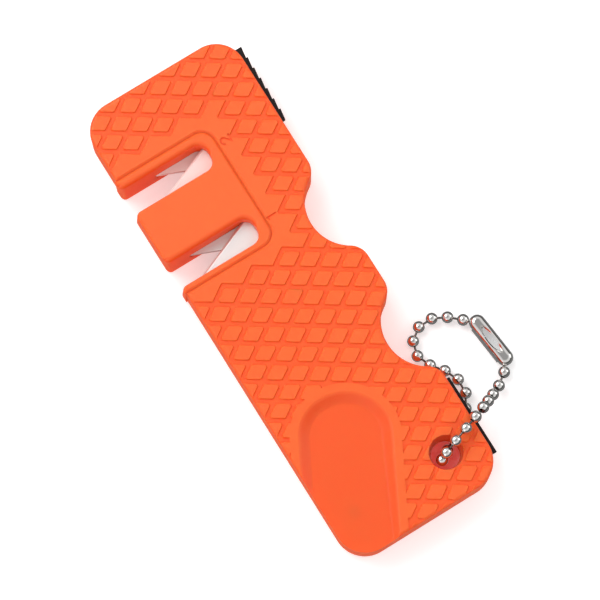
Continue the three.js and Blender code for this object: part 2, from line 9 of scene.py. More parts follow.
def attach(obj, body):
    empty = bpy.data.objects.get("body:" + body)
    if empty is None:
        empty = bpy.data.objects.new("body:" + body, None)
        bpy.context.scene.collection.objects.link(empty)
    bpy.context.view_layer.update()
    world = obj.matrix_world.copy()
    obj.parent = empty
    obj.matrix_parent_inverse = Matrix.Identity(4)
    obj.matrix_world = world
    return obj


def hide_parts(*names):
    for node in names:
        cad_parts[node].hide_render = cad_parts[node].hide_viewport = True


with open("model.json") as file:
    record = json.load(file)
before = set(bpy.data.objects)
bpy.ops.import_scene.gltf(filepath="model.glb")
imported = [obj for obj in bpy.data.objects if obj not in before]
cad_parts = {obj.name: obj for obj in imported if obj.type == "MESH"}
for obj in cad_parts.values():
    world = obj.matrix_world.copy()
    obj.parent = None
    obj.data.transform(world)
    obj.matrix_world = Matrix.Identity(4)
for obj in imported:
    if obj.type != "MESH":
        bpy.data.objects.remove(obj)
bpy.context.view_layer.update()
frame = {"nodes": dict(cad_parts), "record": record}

# Sizes in millimetres. Pieces are made in millimetres and brought to metres when they are finished.
MM = 0.001
MARGIN = 1.0
ARC_STEP = math.radians(4)
CIRCLE_SIDES = 40
SAME_POINT = 1e-5
MERGE = 0.001
FLAT = math.radians(1)

# Shading stays smooth up to these angles in degrees
CASING_SMOOTH = 28
PART_SMOOTH = 32
CHAIN_SMOOTH = 35

# Casing halves
HALF_WIDTH = 18.8
HALF_LENGTH = 56.5
THICKNESS = 10.0
CORNER = 6.8
EDGE = 0.9
EDGE_STEPS = 6
WALL = 2.0
FACE_PLATE = 2.5
SEAM = 5.0
SEAM_GAP = 0.2
SEAM_BREAK = 0.15
EMBED = 0.6
GROOVE_YS = (-20.3, 10.6)
GROOVE_DEPTH = 6.7
GROOVE_RADIUS = 10.0
SHOULDER = 4.5

# Thumb recess
RECESS_CENTRE = (-5.95, -32.1)
RECESS_TURN = math.radians(-28)
RECESS_HALF = 10.3
RECESS_ARCH = 9.5
RECESS_DEPTH = 1.5
RECESS_SIDE_RUN = 2.8
RECESS_TOP_RUN = 2.9
RECESS_RIGHT_RUN = 1.9
RECESS_RIGHT_END = 22.0
RECESS_RIM = 1.6
RECESS_STRAIGHT = 0.45
RECESS_RINGS = 12
RECESS_STEPS = 48

# Diamond grip
CELL_HALF_X = 3.782
CELL_HALF_Y = 2.465
CELL_ORIGIN = (0.14, -0.83)
PLAIN_RIGHT = 9.6
PLAIN_BOTTOM = 8.15
PLAIN_TOP = 44.15
GRIP_INSET = 0.12
GRIP_DEPTH = 0.34
GRIP_FLOOR = 0.4
GRIP_LEAN = 0.3
GRIP_BREAK = 0.12
GRIP_SLOPE = 0.9
PAD_CORNER = 0.55
PAD_TIP = 0.05
GRIP_CORNER_SIDES = 20

# Blade cartridge
BLOCK_LEFT = -19.1
BLOCK_RIGHT = 4.05
BLOCK_BOTTOM = 11.75
BLOCK_TOP = 40.65
BLOCK_CORNER = 3.2
BLOCK_GAP = 0.06
BLOCK_BREAK = 0.5
BLOCK_BREAK_DEPTH = 0.35
FLANGE_LEFT = -16.65
FLANGE_REACH = 4.6
FLANGE_LOW = 2.65
FLANGE_HIGH = 7.35
SLOT_YS = {"carbide": 16.7, "ceramic": 35.7}
SLOT_END = 1.5
SLOT_REAR_HALF = 2.4
SLOT_FAR_HALF = 2.75
SLOT_FAR_ROUND = 1.1
SLOT_FAR_CORNER = 2.5
SLOT_NEAR_HALF = 3.5
SLOT_NEAR_ROUND = 0.3
SLOT_NEAR_CORNER = 2.5
SLOT_MOUTH = 1.2
SLOT_ROUND_STEPS = 8
PLATE_ANGLE = math.radians(22.5)
PLATE_LENGTH = 17.0
PLATE_WIDTH = 7.0
PLATE_LEAD = 7.3
PLATE_GAP = 0.15
PAIR_GAP = 0.3
PLATE_BREAK = 0.08
BREAK_STEPS = 2
BREAK_ANGLE = math.radians(35)
PLATE_X = {"carbide": -6.8, "ceramic": -3.9}
PLATE_THICK = {"carbide": 1.6, "ceramic": 2.0}

# Numerals beside the slots, as lines right and up of their centres in shares of their height
NUMERALS = (
    ((5.6, 16.6), ((-0.2, 0.32), (0.02, 0.5), (0.02, -0.5))),
    ((6.05, 35.95), ((-0.36, 0.26), (-0.3, 0.4), (-0.14, 0.5), (0.1, 0.5), (0.28, 0.41), (0.34, 0.24),
                     (0.24, 0.04), (-0.38, -0.5), (0.4, -0.5))),
)
NUMERAL_HEIGHT = 2.2
STROKE_RADIUS = 0.2
STROKE_DEPTH = 0.32

# Edge strips
STRIP_LOW = 4.4
STRIP_HIGH = 5.6
STRIP_OUT = 19.9
STRIP_TONGUE = 2.6
STRIP_SHOULDER = 1.4
STRIP_GAP = 0.15
STRIP_HALF = 9.5
STRIP_YS = (43.5, -42.2)
STRIP_BREAK = 0.1
PEG_X = 15.35
PEG_REACH = 8.0
PEG_RADIUS = 0.8
PEG_GAP = 0.2
PEG_END = 3.2

# Lanyard hole and relief
HOLE = (10.15, -46.55)
HOLE_RADIUS = 3.75
HOLE_WAIST = 3.1
HOLE_SLEEVE = 1.6
RELIEF_EXIT = (18.8, -40.2)
RELIEF_WIDTH = 4.2
RELIEF_DEPTH = 3.1
RELIEF_COVER = 1.2

# Screws; the head's dome is given by shares of its radius and heights
SCREWS = ((-13.0, 50.0), (9.0, 50.0), (-13.0, 0.0), (9.0, -34.55), (-13.0, -47.0))
HEAD_RADIUS = 1.9
HEAD_HEIGHT = 1.3
HEAD_SINK = 0.4
HEAD_DOME = ((0.0, 0.0), (0.6, 0.06), (0.9, 0.25), (1.0, 0.5))
SHANK_RADIUS = 0.9
SHANK_CORE = 0.72
SHANK_TOP = 7.9
THREAD_PITCH = 0.8
SCREW_GAP = 0.25
BOSS_WALL = 1.4
DRIVE_SPAN = 2.2
DRIVE_WIDTH = 0.5
DRIVE_DEPTH = 0.8
FIRST_TURN = 0.4
NEXT_TURN = 1.1

# Ball chain: the balls' places in order from the connector, which holds the last and the first
BALLS = (
    (31.904, -25.813, 1.300), (29.645, -23.245, 1.351), (27.080, -20.986, 1.350), (24.033, -19.452, 1.350),
    (20.657, -19.542, 1.350), (17.950, -21.543, 1.350), (17.028, -24.766, 1.350), (18.274, -27.875, 1.350),
    (20.336, -30.606, 1.350), (21.740, -33.693, 1.350), (21.565, -37.066, 1.350), (19.750, -39.918, 1.350),
    (17.072, -42.045, 1.318), (14.211, -43.910, 1.445), (11.412, -45.635, 2.314), (9.196, -46.963, 4.492),
    (8.735, -47.281, 7.817), (10.079, -46.737, 10.836), (12.981, -45.728, 12.120), (16.211, -44.597, 12.060),
    (19.374, -43.535, 11.400), (22.050, -42.510, 9.547), (24.019, -41.639, 6.906), (25.989, -40.747, 4.254),
    (28.392, -39.571, 2.139), (31.035, -37.602, 1.387), (32.800, -34.696, 1.300),
)
BALL_RADIUS = 1.3
BALL_WALL = 0.15
BALL_MESH = (48, 28)
HIDDEN_MESH = (20, 12)
ROD_RADIUS = 0.24
ROD_SIDES = 24
KNOB_RADIUS = 0.75
ROD_TURN = 18.0
WIDE_TURNS = {22: 36.0, 13: -36.0, 2: -13.0}
MOUTH_MARGIN = math.radians(4)
CONNECTOR_END = 0.35
CONNECTOR_WIDTH = 3.6
CONNECTOR_HEIGHT = 3.1
CONNECTOR_SHEET = 0.3
CONNECTOR_ROUND = 1.35
ROD_SLOT_TOP = 1.75
WINDOW_LENGTH = 7.8
WINDOW_WIDTH = 2.4
WINDOW_LIP = 0.42
LENS_STEPS = 14

# Kinds of points in a chain
BALL, MOUTH, ROD, KNOB = range(4)
KIND_MARGIN = 0.1


# Node trees: one socket class for arithmetic and one method for every other node
class Wire:
    """An output socket; arithmetic on it adds Math nodes to its tree."""

    def __init__(self, tree, socket=None):
        self.tree = tree
        self.socket = socket

    def node(self, kind, settings=None, values=None, output=0):
        made = self.tree.nodes.new(kind)
        for name, value in (settings or {}).items():
            if name == "stops":
                ramp = made.color_ramp.elements
                while len(ramp) < len(value):
                    ramp.new(1.0)
                for stop, (place, colour) in zip(ramp, value):
                    stop.position, stop.color = place, colour
            else:
                setattr(made, name, value)
        for name, value in (values or {}).items():
            for each in value if isinstance(value, list) else [value]:
                if isinstance(each, Wire):
                    self.tree.links.new(each.socket, made.inputs[name])
                else:
                    made.inputs[name].default_value = each
        return Wire(self.tree, made.outputs[output] if len(made.outputs) else None)

    def maths(self, operation, first, second):
        return self.node("ShaderNodeMath", {"operation": operation}, {0: first, 1: second})

    def __add__(self, other):
        return self.maths("ADD", self, other)

    def __sub__(self, other):
        return self.maths("SUBTRACT", self, other)

    def __rsub__(self, other):
        return self.maths("SUBTRACT", other, self)

    def __mul__(self, other):
        return self.maths("MULTIPLY", self, other)

    __radd__ = __add__
    __rmul__ = __mul__


# Finishes: sockets of a colour mix, detail of the noises, and the run below the casing's faces over which its
# painted shade sets in
MIX_SHARE, MIX_FIRST, MIX_SECOND, MIX_RESULT = 0, 6, 7, 2
DRIFT_DETAIL = 3.0
GRAIN_DETAIL = 2.0
PAINTED_SHADE_RUN = 0.4


def noise(base, coords, scale, detail):
    return base.node("ShaderNodeTexNoise", None, {"Vector": coords, "Scale": scale, "Detail": detail})


def opaque(colour):
    return (*colour, 1)


def blend(base, share, first, second):
    return base.node("ShaderNodeMix", {"data_type": "RGBA"},
                     {MIX_SHARE: share, MIX_FIRST: first, MIX_SECOND: second}, output=MIX_RESULT)


def finish(name, colours, patch, rough, grain, metal=0.0, stretch=(1, 1, 1), turn=0.0, painted_shade=None, wire=None,
           glow=None, fixed=None):
    """Colour and roughness drift over patches, with a bumped grain; rough is (base, drift) and grain is
    (scale, strength, depth in metres). Below the casing's faces the colour turns darker and redder, a painted
    shade in its grooves, recess, slots and on its sides; the chain's rods have their own darker colour,
    partly
    darker steel and partly painted shade in the balls' mouths. A glow is two colours of light from the
    surface:
    a painted red light on the floor under the lanyard hole, and an even glow past it."""
    material = bpy.data.materials.new(name)
    material.use_nodes = True
    tree = material.node_tree
    tree.nodes.clear()
    base = Wire(tree)
    place = base.node("ShaderNodeTexCoord", output="Object")
    settled = base.node("ShaderNodeMapping", None,
                        {"Vector": place, "Scale": stretch, "Rotation": (0, 0, turn)})
    drift = noise(base, place, patch, DRIFT_DETAIL)
    colour = blend(base, drift, opaque(colours[0]), opaque(colours[1]))
    # Painted shade: below the casing's faces the colour turns darker and redder, fully so over a short run
    if painted_shade:
        z = base.node("ShaderNodeSeparateXYZ", None, {0: place}, output="Z")
        below = SEAM * MM - base.maths("ABSOLUTE", z - SEAM * MM, 0.0)
        share = base.node("ShaderNodeMapRange", None, {"Value": below, "From Max": PAINTED_SHADE_RUN * MM})
        colour = blend(base, share, colour, opaque(painted_shade))
    # The rods' darker colour: partly darker steel, partly painted shade in the balls' mouths
    if wire:
        share = base.node("ShaderNodeAttribute", {"attribute_name": "wire"}, output="Fac")
        colour = blend(base, share, colour, opaque(wire))
    lit = opaque((0, 0, 0))
    # Painted light: under the lanyard hole the surface gives off a dim red light, standing in for light
    # bounced from the orange plastic
    if glow:
        under, past = glow
        gap = base.node("ShaderNodeVectorMath", {"operation": "DISTANCE"},
                        {0: place, 1: (HOLE[0] * MM, HOLE[1] * MM, 0)}, output="Value")
        share = base.node("ShaderNodeMapRange", None, {
            "Value": gap, "From Min": HOLE_RADIUS * MM, "From Max": 2 * HOLE_RADIUS * MM})
        lit = blend(base, share, opaque(under), opaque(past))
    grain_scale, grain_strength, grain_depth = grain
    fine = noise(base, settled, grain_scale, GRAIN_DETAIL)
    bump = base.node("ShaderNodeBump", None,
                     {"Strength": grain_strength, "Distance": grain_depth, "Height": fine})
    shader = base.node("ShaderNodeBsdfPrincipled", None, {
        "Base Color": colour,
        "Roughness": rough[0] + rough[1] * (drift + fine - 1.0),
        "Normal": bump,
        "Metallic": metal,
        "Emission Color": lit,
        "Emission Strength": 1.0 if glow else 0.0,
        **(fixed or {}),
    })
    base.node("ShaderNodeOutputMaterial", None, {"Surface": shader})
    return material


# The orange plastic's darker, redder colour below its faces is painted shade in its grooves, recess, slots
# and on its sides
ORANGE = finish(
    "orange_plastic", ((0.9, 0.13, 0.018), (0.96, 0.15, 0.024)), patch=45.0, rough=(0.46, 0.16),
    grain=(5200.0, 0.22, 0.00004), painted_shade=(0.92, 0.102, 0.012),
    fixed={"Specular IOR Level": 0.4, "Subsurface Weight": 0.5, "Subsurface Radius": (1.0, 0.2, 0.06),
           "Subsurface Scale": 0.0015})
# The chain's rods get a darker colour, partly darker steel and partly painted shade in the balls' mouths
NICKEL = finish(
    "nickel_chain", ((0.62, 0.605, 0.59), (0.74, 0.725, 0.705)), patch=260.0, rough=(0.1, 0.08),
    grain=(2600.0, 0.08, 0.00003), metal=1.0, wire=(0.16, 0.14, 0.13))
CARBIDE = finish(
    "ground_carbide", ((0.78, 0.77, 0.75), (0.86, 0.85, 0.83)), patch=180.0, rough=(0.46, 0.2),
    grain=(4000.0, 0.3, 0.00003), metal=0.7, stretch=(0.08, 1, 1), turn=0.39)
# The ceramic's pink tint on a white plate is painted orange bounce light
CERAMIC = finish(
    "white_ceramic_with_painted_bounce", ((0.88, 0.73, 0.69), (0.93, 0.8, 0.76)), patch=150.0, rough=(0.5, 0.18),
    grain=(6500.0, 0.25, 0.00003))
BLACK = finish(
    "black_steel", ((0.004, 0.0032, 0.003), (0.012, 0.009, 0.008)), patch=420.0, rough=(0.5, 0.3),
    grain=(3000.0, 0.35, 0.00004), fixed={"Specular IOR Level": 0.25})
ZINC = finish(
    "zinc_screw", ((0.55, 0.56, 0.57), (0.74, 0.75, 0.76)), patch=380.0, rough=(0.32, 0.2),
    grain=(3800.0, 0.2, 0.00003), metal=1.0)


# Solids
def put(name, mesh):
    thing = bpy.data.objects.new(name, mesh)
    bpy.context.scene.collection.objects.link(thing)
    return thing


def drop(thing):
    mesh = thing.data
    bpy.data.objects.remove(thing)
    bpy.data.meshes.remove(mesh)


def plain(thing):
    """Replaces an object's mesh by its evaluated one and clears its modifiers."""
    bpy.context.view_layer.update()
    mesh = bpy.data.meshes.new_from_object(thing.evaluated_get(bpy.context.evaluated_depsgraph_get()))
    old = thing.data
    thing.modifiers.clear()
    thing.data = mesh
    bpy.data.meshes.remove(old)
    return thing


def loft(name, rings):
    count = len(rings[0])
    points = [point for ring in rings for point in ring]
    faces = [tuple(reversed(range(count))), tuple(range(len(points) - count, len(points)))]
    for low in range(0, len(points) - count, count):
        for i in range(count):
            j = (i + 1) % count
            faces.append((low + i, low + j, low + count + j, low + count + i))
    mesh = bpy.data.meshes.new(name)
    mesh.from_pydata(points, [], faces)
    return put(name, mesh)


def at(outline, z):
    return [(x, y, z) for x, y in outline]


def prism(name, outline, z0, z1):
    return loft(name, [at(outline, z0), at(outline, z1)])


def arc(x, y, radius, start, end):
    count = max(2, math.ceil(abs(end - start) / ARC_STEP))
    angles = [start + (end - start) * i / count for i in range(count + 1)]
    return [(x + radius * math.cos(a), y + radius * math.sin(a)) for a in angles]


def circle(x, y, radius):
    angles = [2 * math.pi * i / CIRCLE_SIDES for i in range(CIRCLE_SIDES)]
    return [(x + radius * math.cos(a), y + radius * math.sin(a)) for a in angles]


def post(x, y, radius, z0, z1):
    return prism("post", circle(x, y, radius), z0, z1)


def joined(points):
    kept = [points[0]]
    for point in points[1:]:
        if math.dist(point, kept[-1]) > SAME_POINT:
            kept.append(point)
    return kept if math.dist(kept[0], kept[-1]) > SAME_POINT else kept[:-1]


def change(body, operation, tools):
    for tool in tools:
        step = body.modifiers.new(operation, "BOOLEAN")
        step.operation, step.solver, step.object = operation, "MANIFOLD", tool
    plain(body)
    for tool in tools:
        drop(tool)
    return body


def smoothed(thing, angle):
    """Smooth shading with sharp edges past an angle, and flat faces kept flat."""
    thing.data.shade_smooth()
    thing.data.set_sharp_from_angle(angle=math.radians(angle))
    weigh = thing.modifiers.new("flat faces", "WEIGHTED_NORMAL")
    weigh.keep_sharp = True
    return plain(thing)


def settle(thing, name, body, material, nodes):
    """Brings a finished piece to metres and says where it belongs."""
    thing.name = name
    thing.data.name = name
    thing.data.transform(Matrix.Scale(MM, 4))
    thing.data.materials.clear()
    thing.data.materials.append(material)
    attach(thing, body)
    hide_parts(*nodes)


# Casing outline, drawn in by inset, counter-clockwise from the lower right corner
def casing_outline(inset):
    x, y = HALF_WIDTH - CORNER, HALF_LENGTH - CORNER
    corner = CORNER - inset
    shoulder_x = HALF_WIDTH - SHOULDER
    groove_x = HALF_WIDTH + GROOVE_RADIUS - GROOVE_DEPTH
    reach = GROOVE_RADIUS + SHOULDER
    lean = math.acos((groove_x - shoulder_x) / reach)
    rise = reach * math.sin(lean)
    points = arc(x, -y, corner, -math.pi / 2, 0)
    for groove_y in GROOVE_YS:
        points += arc(shoulder_x, groove_y - rise, SHOULDER - inset, 0, lean)
        points += arc(groove_x, groove_y, GROOVE_RADIUS + inset, math.pi + lean, math.pi - lean)
        points += arc(shoulder_x, groove_y + rise, SHOULDER - inset, -lean, 0)
    points += arc(x, y, corner, 0, math.pi / 2)
    points += arc(-x, y, corner, math.pi / 2, math.pi)
    points += arc(-x, -y, corner, math.pi, 1.5 * math.pi)
    return joined(points)


def block_outline(left, right, bottom, top, radius):
    points = arc(right - radius, bottom + radius, radius, -math.pi / 2, 0)
    points += arc(right - radius, top - radius, radius, 0, math.pi / 2)
    return points + [(left, top), (left, bottom)]


def casing_skin(name, seam_z, face_z):
    """Outside of one casing half: a broken edge at the seam and a quarter round at the face."""
    way = 1 if face_z > seam_z else -1
    rings = [at(casing_outline(SEAM_BREAK), seam_z), at(casing_outline(0), seam_z + way * SEAM_BREAK)]
    for i in range(EDGE_STEPS + 1):
        angle = math.pi / 2 * i / EDGE_STEPS
        inset, sink = EDGE * (1 - math.cos(angle)), EDGE * (1 - math.sin(angle))
        rings.append(at(casing_outline(inset), face_z - way * sink))
    return loft(name, rings if way > 0 else rings[::-1])


# Thumb recess, from its floor outward by share and then past the rim; its right wall narrows downward
def recess_outline(share, past=0.0):
    half = RECESS_HALF - RECESS_SIDE_RUN * (1 - share) + past
    right = RECESS_HALF - RECESS_RIGHT_RUN * (1 - share) + past
    arch = RECESS_ARCH - RECESS_TOP_RUN * (1 - share) + past
    points = [(-half, -HALF_LENGTH), (right, -HALF_LENGTH), (right, -RECESS_RIGHT_END)]
    for i in range(RECESS_STEPS + 1):
        angle = math.pi * i / RECESS_STEPS
        points.append((half * math.cos(angle), arch * math.sin(angle)))
    cos, sin = math.cos(RECESS_TURN), math.sin(RECESS_TURN)
    centre_x, centre_y = RECESS_CENTRE
    return [(centre_x + cos * x - sin * y, centre_y + sin * x + cos * y) for x, y in points]


def recess_tool():
    rings = []
    for i in range(RECESS_RINGS + 1):
        share = i / RECESS_RINGS
        soft = share * share * (3 - 2 * share)
        rise = RECESS_STRAIGHT * share + (1 - RECESS_STRAIGHT) * soft
        rings.append(at(recess_outline(share), THICKNESS - RECESS_DEPTH * (1 - rise)))
    rings.append(at(recess_outline(1), THICKNESS + MARGIN))
    return loft("recess", rings)


# Strip slots, relief and numerals
def strip_slot(centre_y):
    wall = HALF_WIDTH - WALL
    half = STRIP_HALF + STRIP_GAP
    shoulder = half + STRIP_SHOULDER
    back = wall - STRIP_TONGUE - 2 * STRIP_GAP
    out = STRIP_OUT + STRIP_GAP
    lower = [(back, -shoulder), (wall, -shoulder), (wall, -half), (out, -half)]
    upper = [(out, half), (wall, half), (wall, shoulder), (back, shoulder)]
    outline = [(x, centre_y + y) for x, y in lower + upper]
    return prism("strip_slot", outline, STRIP_LOW - STRIP_GAP, STRIP_HIGH + STRIP_GAP)


def relief_bar(width, z0, z1):
    along = Vector(RELIEF_EXIT) - Vector(HOLE)
    length = along.length + MARGIN + width
    along.normalize()
    side = Vector((-along.y, along.x)) * width / 2
    start, end = Vector(HOLE), Vector(HOLE) + along * length
    return prism("relief", [tuple(p) for p in (start - side, end - side, end + side, start + side)], z0, z1)


def numeral(place, points):
    """Grooves for one numeral, which reads along +Y."""
    tools = []
    path = [(place[0] - NUMERAL_HEIGHT * up, place[1] + NUMERAL_HEIGHT * right) for right, up in points]
    for start, end in zip(path, path[1:]):
        turn = math.atan2(end[1] - start[1], end[0] - start[0])
        outline = arc(*end, STROKE_RADIUS, turn - math.pi / 2, turn + math.pi / 2)
        outline += arc(*start, STROKE_RADIUS, turn + math.pi / 2, turn + 1.5 * math.pi)
        tools.append(prism("stroke", outline, THICKNESS - STROKE_DEPTH, THICKNESS + MARGIN))
    return tools


PEGS = [(PEG_X, y + way * PEG_REACH) for y in STRIP_YS for way in (-1, 1)]


def half_casing(name, is_front):
    way = 1 if is_front else -1
    seam_z = SEAM + way * SEAM_GAP / 2
    face_z = THICKNESS if is_front else 0.0
    inner_z = face_z - way * FACE_PLATE
    shell = casing_skin(name, seam_z, face_z)
    low, high = sorted((seam_z - way * MARGIN, inner_z))
    change(shell, "DIFFERENCE", [prism("cavity", casing_outline(WALL), low, high)])
    low, high = sorted((seam_z, inner_z + way * EMBED))
    boss = SHANK_RADIUS + SCREW_GAP + BOSS_WALL
    added = [post(x, y, boss, low, high) for x, y in SCREWS]
    added.append(post(*HOLE, HOLE_RADIUS + HOLE_SLEEVE, low, high))
    if not is_front:
        ridge = relief_bar(RELIEF_WIDTH + 2 * RELIEF_COVER, FACE_PLATE - EMBED, RELIEF_DEPTH + RELIEF_COVER)
        added.append(change(ridge, "INTERSECT", [prism("bound", casing_outline(EDGE), 0, THICKNESS)]))
    change(shell, "UNION", added)
    left, right = BLOCK_LEFT - MARGIN, BLOCK_RIGHT + BLOCK_GAP
    bottom, top = BLOCK_BOTTOM - BLOCK_GAP, BLOCK_TOP + BLOCK_GAP
    corner = BLOCK_CORNER + BLOCK_GAP
    window = block_outline(left, right, bottom, top, corner)
    broken = block_outline(left, right + BLOCK_BREAK, bottom - BLOCK_BREAK, top + BLOCK_BREAK,
                           corner + BLOCK_BREAK)
    rings = [at(window, seam_z - way * MARGIN), at(window, face_z - way * BLOCK_BREAK_DEPTH),
             at(broken, face_z), at(broken, face_z + way * MARGIN)]
    cuts = [loft("window", rings if is_front else rings[::-1])]
    drafted = ((-MARGIN, HOLE_RADIUS), (0, HOLE_RADIUS), (SEAM, HOLE_WAIST), (THICKNESS, HOLE_RADIUS),
               (THICKNESS + MARGIN, HOLE_RADIUS))
    cuts.append(loft("hole", [at(circle(*HOLE, radius), z) for z, radius in drafted]))
    cuts += [strip_slot(y) for y in STRIP_YS]
    if is_front:
        cuts += [post(x, y, SHANK_RADIUS + SCREW_GAP, 0, SHANK_TOP + SCREW_GAP) for x, y in SCREWS]
        cuts.append(recess_tool())
        cuts += [line for place, points in NUMERALS for line in numeral(place, points)]
    else:
        cuts += [post(x, y, SHANK_RADIUS + SCREW_GAP, 0, SEAM) for x, y in SCREWS]
        seat = HEAD_SINK + HEAD_HEIGHT + SCREW_GAP
        cuts += [post(x, y, HEAD_RADIUS + SCREW_GAP, -MARGIN, seat) for x, y in SCREWS]
        cuts += [post(x, y, PEG_RADIUS + PEG_GAP, PEG_END - PEG_GAP, SEAM) for x, y in PEGS]
        cuts.append(relief_bar(RELIEF_WIDTH, -MARGIN, RELIEF_DEPTH))
    change(shell, "DIFFERENCE", cuts)
    if is_front:
        change(shell, "UNION", [post(x, y, PEG_RADIUS, PEG_END, inner_z + EMBED) for x, y in PEGS])
    return shell


# Diamond grip: a pad on every textured cell, with a groove round it
def grip_cells():
    across, along = math.ceil(HALF_WIDTH / CELL_HALF_X) + 1, math.ceil(HALF_LENGTH / CELL_HALF_Y) + 1
    cells = []
    for p in range(-across, across + 1):
        for q in range(-along, along + 1):
            x, y = CELL_ORIGIN[0] + p * CELL_HALF_X, CELL_ORIGIN[1] + q * CELL_HALF_Y
            is_plain = x < PLAIN_RIGHT and PLAIN_BOTTOM < y < PLAIN_TOP
            if (p + q) % 2 == 0 and not is_plain:
                cells.append((x, y, THICKNESS))
    return cells


def node_tree(name, sockets):
    """A geometry tree with named inputs; returns its wire and its inputs by name."""
    tree = bpy.data.node_groups.new(name, "GeometryNodeTree")
    tree.interface.new_socket("Geometry", in_out="INPUT", socket_type="NodeSocketGeometry")
    for socket, kind in sockets.items():
        tree.interface.new_socket(socket, in_out="INPUT", socket_type="NodeSocket" + kind)
    tree.interface.new_socket("Geometry", in_out="OUTPUT", socket_type="NodeSocketGeometry")
    source = tree.nodes.new("NodeGroupInput")
    inputs = {socket.name: Wire(tree, socket) for socket in source.outputs if socket.name}
    return Wire(tree), inputs


def run_tree(thing, tree, values):
    step = thing.modifiers.new(tree.name, "NODES")
    step.node_group = tree
    for item in tree.interface.items_tree:
        if item.in_out == "INPUT" and item.name in values:
            step[item.identifier] = values[item.name]
    return plain(thing)


def combined(base, operation, values):
    return base.node("GeometryNodeMeshBoolean", {"operation": operation, "solver": "MANIFOLD"}, values)


def close_tree(base, geometry, material):
    solid = base.node("GeometryNodeRealizeInstances", None, {"Geometry": geometry})
    dressed = base.node("GeometryNodeSetMaterial", None, {"Geometry": solid, "Material": material})
    base.node("NodeGroupOutput", None, {"Geometry": dressed})
    return base.tree


def grip_tree():
    base, given = node_tree("diamond_grip", {
        "Lattice": "Object", "Field": "Object", "Half X": "Float", "Half Y": "Float", "Pad Share": "Float",
        "Material": "Material"})

    def diamond(share, profile):
        """Hull of one turned profile of radii and heights, set on the corners of a cell taken to a share."""
        rings = []
        for (low_radius, low), (high_radius, high) in zip(profile, profile[1:]):
            cone = base.node("GeometryNodeMeshCone", None, {
                "Vertices": GRIP_CORNER_SIDES, "Radius Bottom": low_radius, "Radius Top": high_radius,
                "Depth": high - low})
            for x, y in ((1, 0), (0, 1), (-1, 0), (0, -1)):
                corner = {"X": given["Half X"] * share * x, "Y": given["Half Y"] * share * y, "Z": low}
                place = base.node("ShaderNodeCombineXYZ", None, corner)
                moved = base.node("GeometryNodeTransform", None, {"Geometry": cone, "Translation": place})
                rings.append(moved)
        corners = base.node("GeometryNodeJoinGeometry", None, {0: rings})
        return base.node("GeometryNodeConvexHull", None, {0: corners})

    lattice = base.node("GeometryNodeObjectInfo", None, {"Object": given["Lattice"]}, output="Geometry")

    def on_cells(shape):
        return base.node("GeometryNodeInstanceOnPoints", None, {"Points": lattice, "Instance": shape})

    neck = GRIP_FLOOR + GRIP_LEAN * (GRIP_DEPTH - GRIP_BREAK)
    top = GRIP_DEPTH
    trench = diamond(1.0, [(GRIP_FLOOR, -GRIP_DEPTH), (neck + GRIP_LEAN * (GRIP_BREAK + top), top)])
    rim = diamond(1.0, [(neck, -GRIP_BREAK), (neck + GRIP_SLOPE * (GRIP_BREAK + top), top)])
    waist = PAD_CORNER - GRIP_LEAN * (GRIP_DEPTH - GRIP_BREAK)
    tip = (waist - PAD_TIP) / GRIP_SLOPE - GRIP_BREAK
    pad = diamond(given["Pad Share"], [(PAD_CORNER, -GRIP_DEPTH), (waist, -GRIP_BREAK), (PAD_TIP, tip)])
    trenches = combined(base, "UNION", {"Mesh 2": [on_cells(trench), on_cells(rim)]})
    grooves = combined(base, "DIFFERENCE", {"Mesh 1": trenches, "Mesh 2": [on_cells(pad)]})
    field = base.node("GeometryNodeObjectInfo", None, {"Object": given["Field"]}, output="Geometry")
    kept = combined(base, "INTERSECT", {"Mesh 2": [grooves, field]})
    cut = combined(base, "DIFFERENCE", {"Mesh 1": given["Geometry"], "Mesh 2": [kept]})
    return close_tree(base, cut, given["Material"])


def cut_grip(shell):
    mesh = bpy.data.meshes.new("lattice")
    mesh.from_pydata(grip_cells(), [], [])
    lattice = put("lattice", mesh)
    field = prism("field", casing_outline(GRIP_INSET), THICKNESS / 2, THICKNESS + MARGIN)
    change(field, "DIFFERENCE", [prism("rim", recess_outline(1, RECESS_RIM), 0, 2 * THICKNESS)])
    reach = CELL_HALF_X * CELL_HALF_Y / math.hypot(CELL_HALF_X, CELL_HALF_Y)
    run_tree(shell, grip_tree(), {
        "Lattice": lattice, "Field": field, "Half X": CELL_HALF_X, "Half Y": CELL_HALF_Y,
        "Pad Share": 1 - (GRIP_FLOOR + PAD_CORNER) / reach, "Material": ORANGE})
    drop(lattice)
    drop(field)
    return shell


front = cut_grip(half_casing("front", True))
settle(smoothed(front, CASING_SMOOTH), "casing_front", "casing", ORANGE, ["front_shell"])
rear = half_casing("rear", False)
settle(smoothed(rear, CASING_SMOOTH), "casing_rear", "casing", ORANGE, ["rear_shell"])


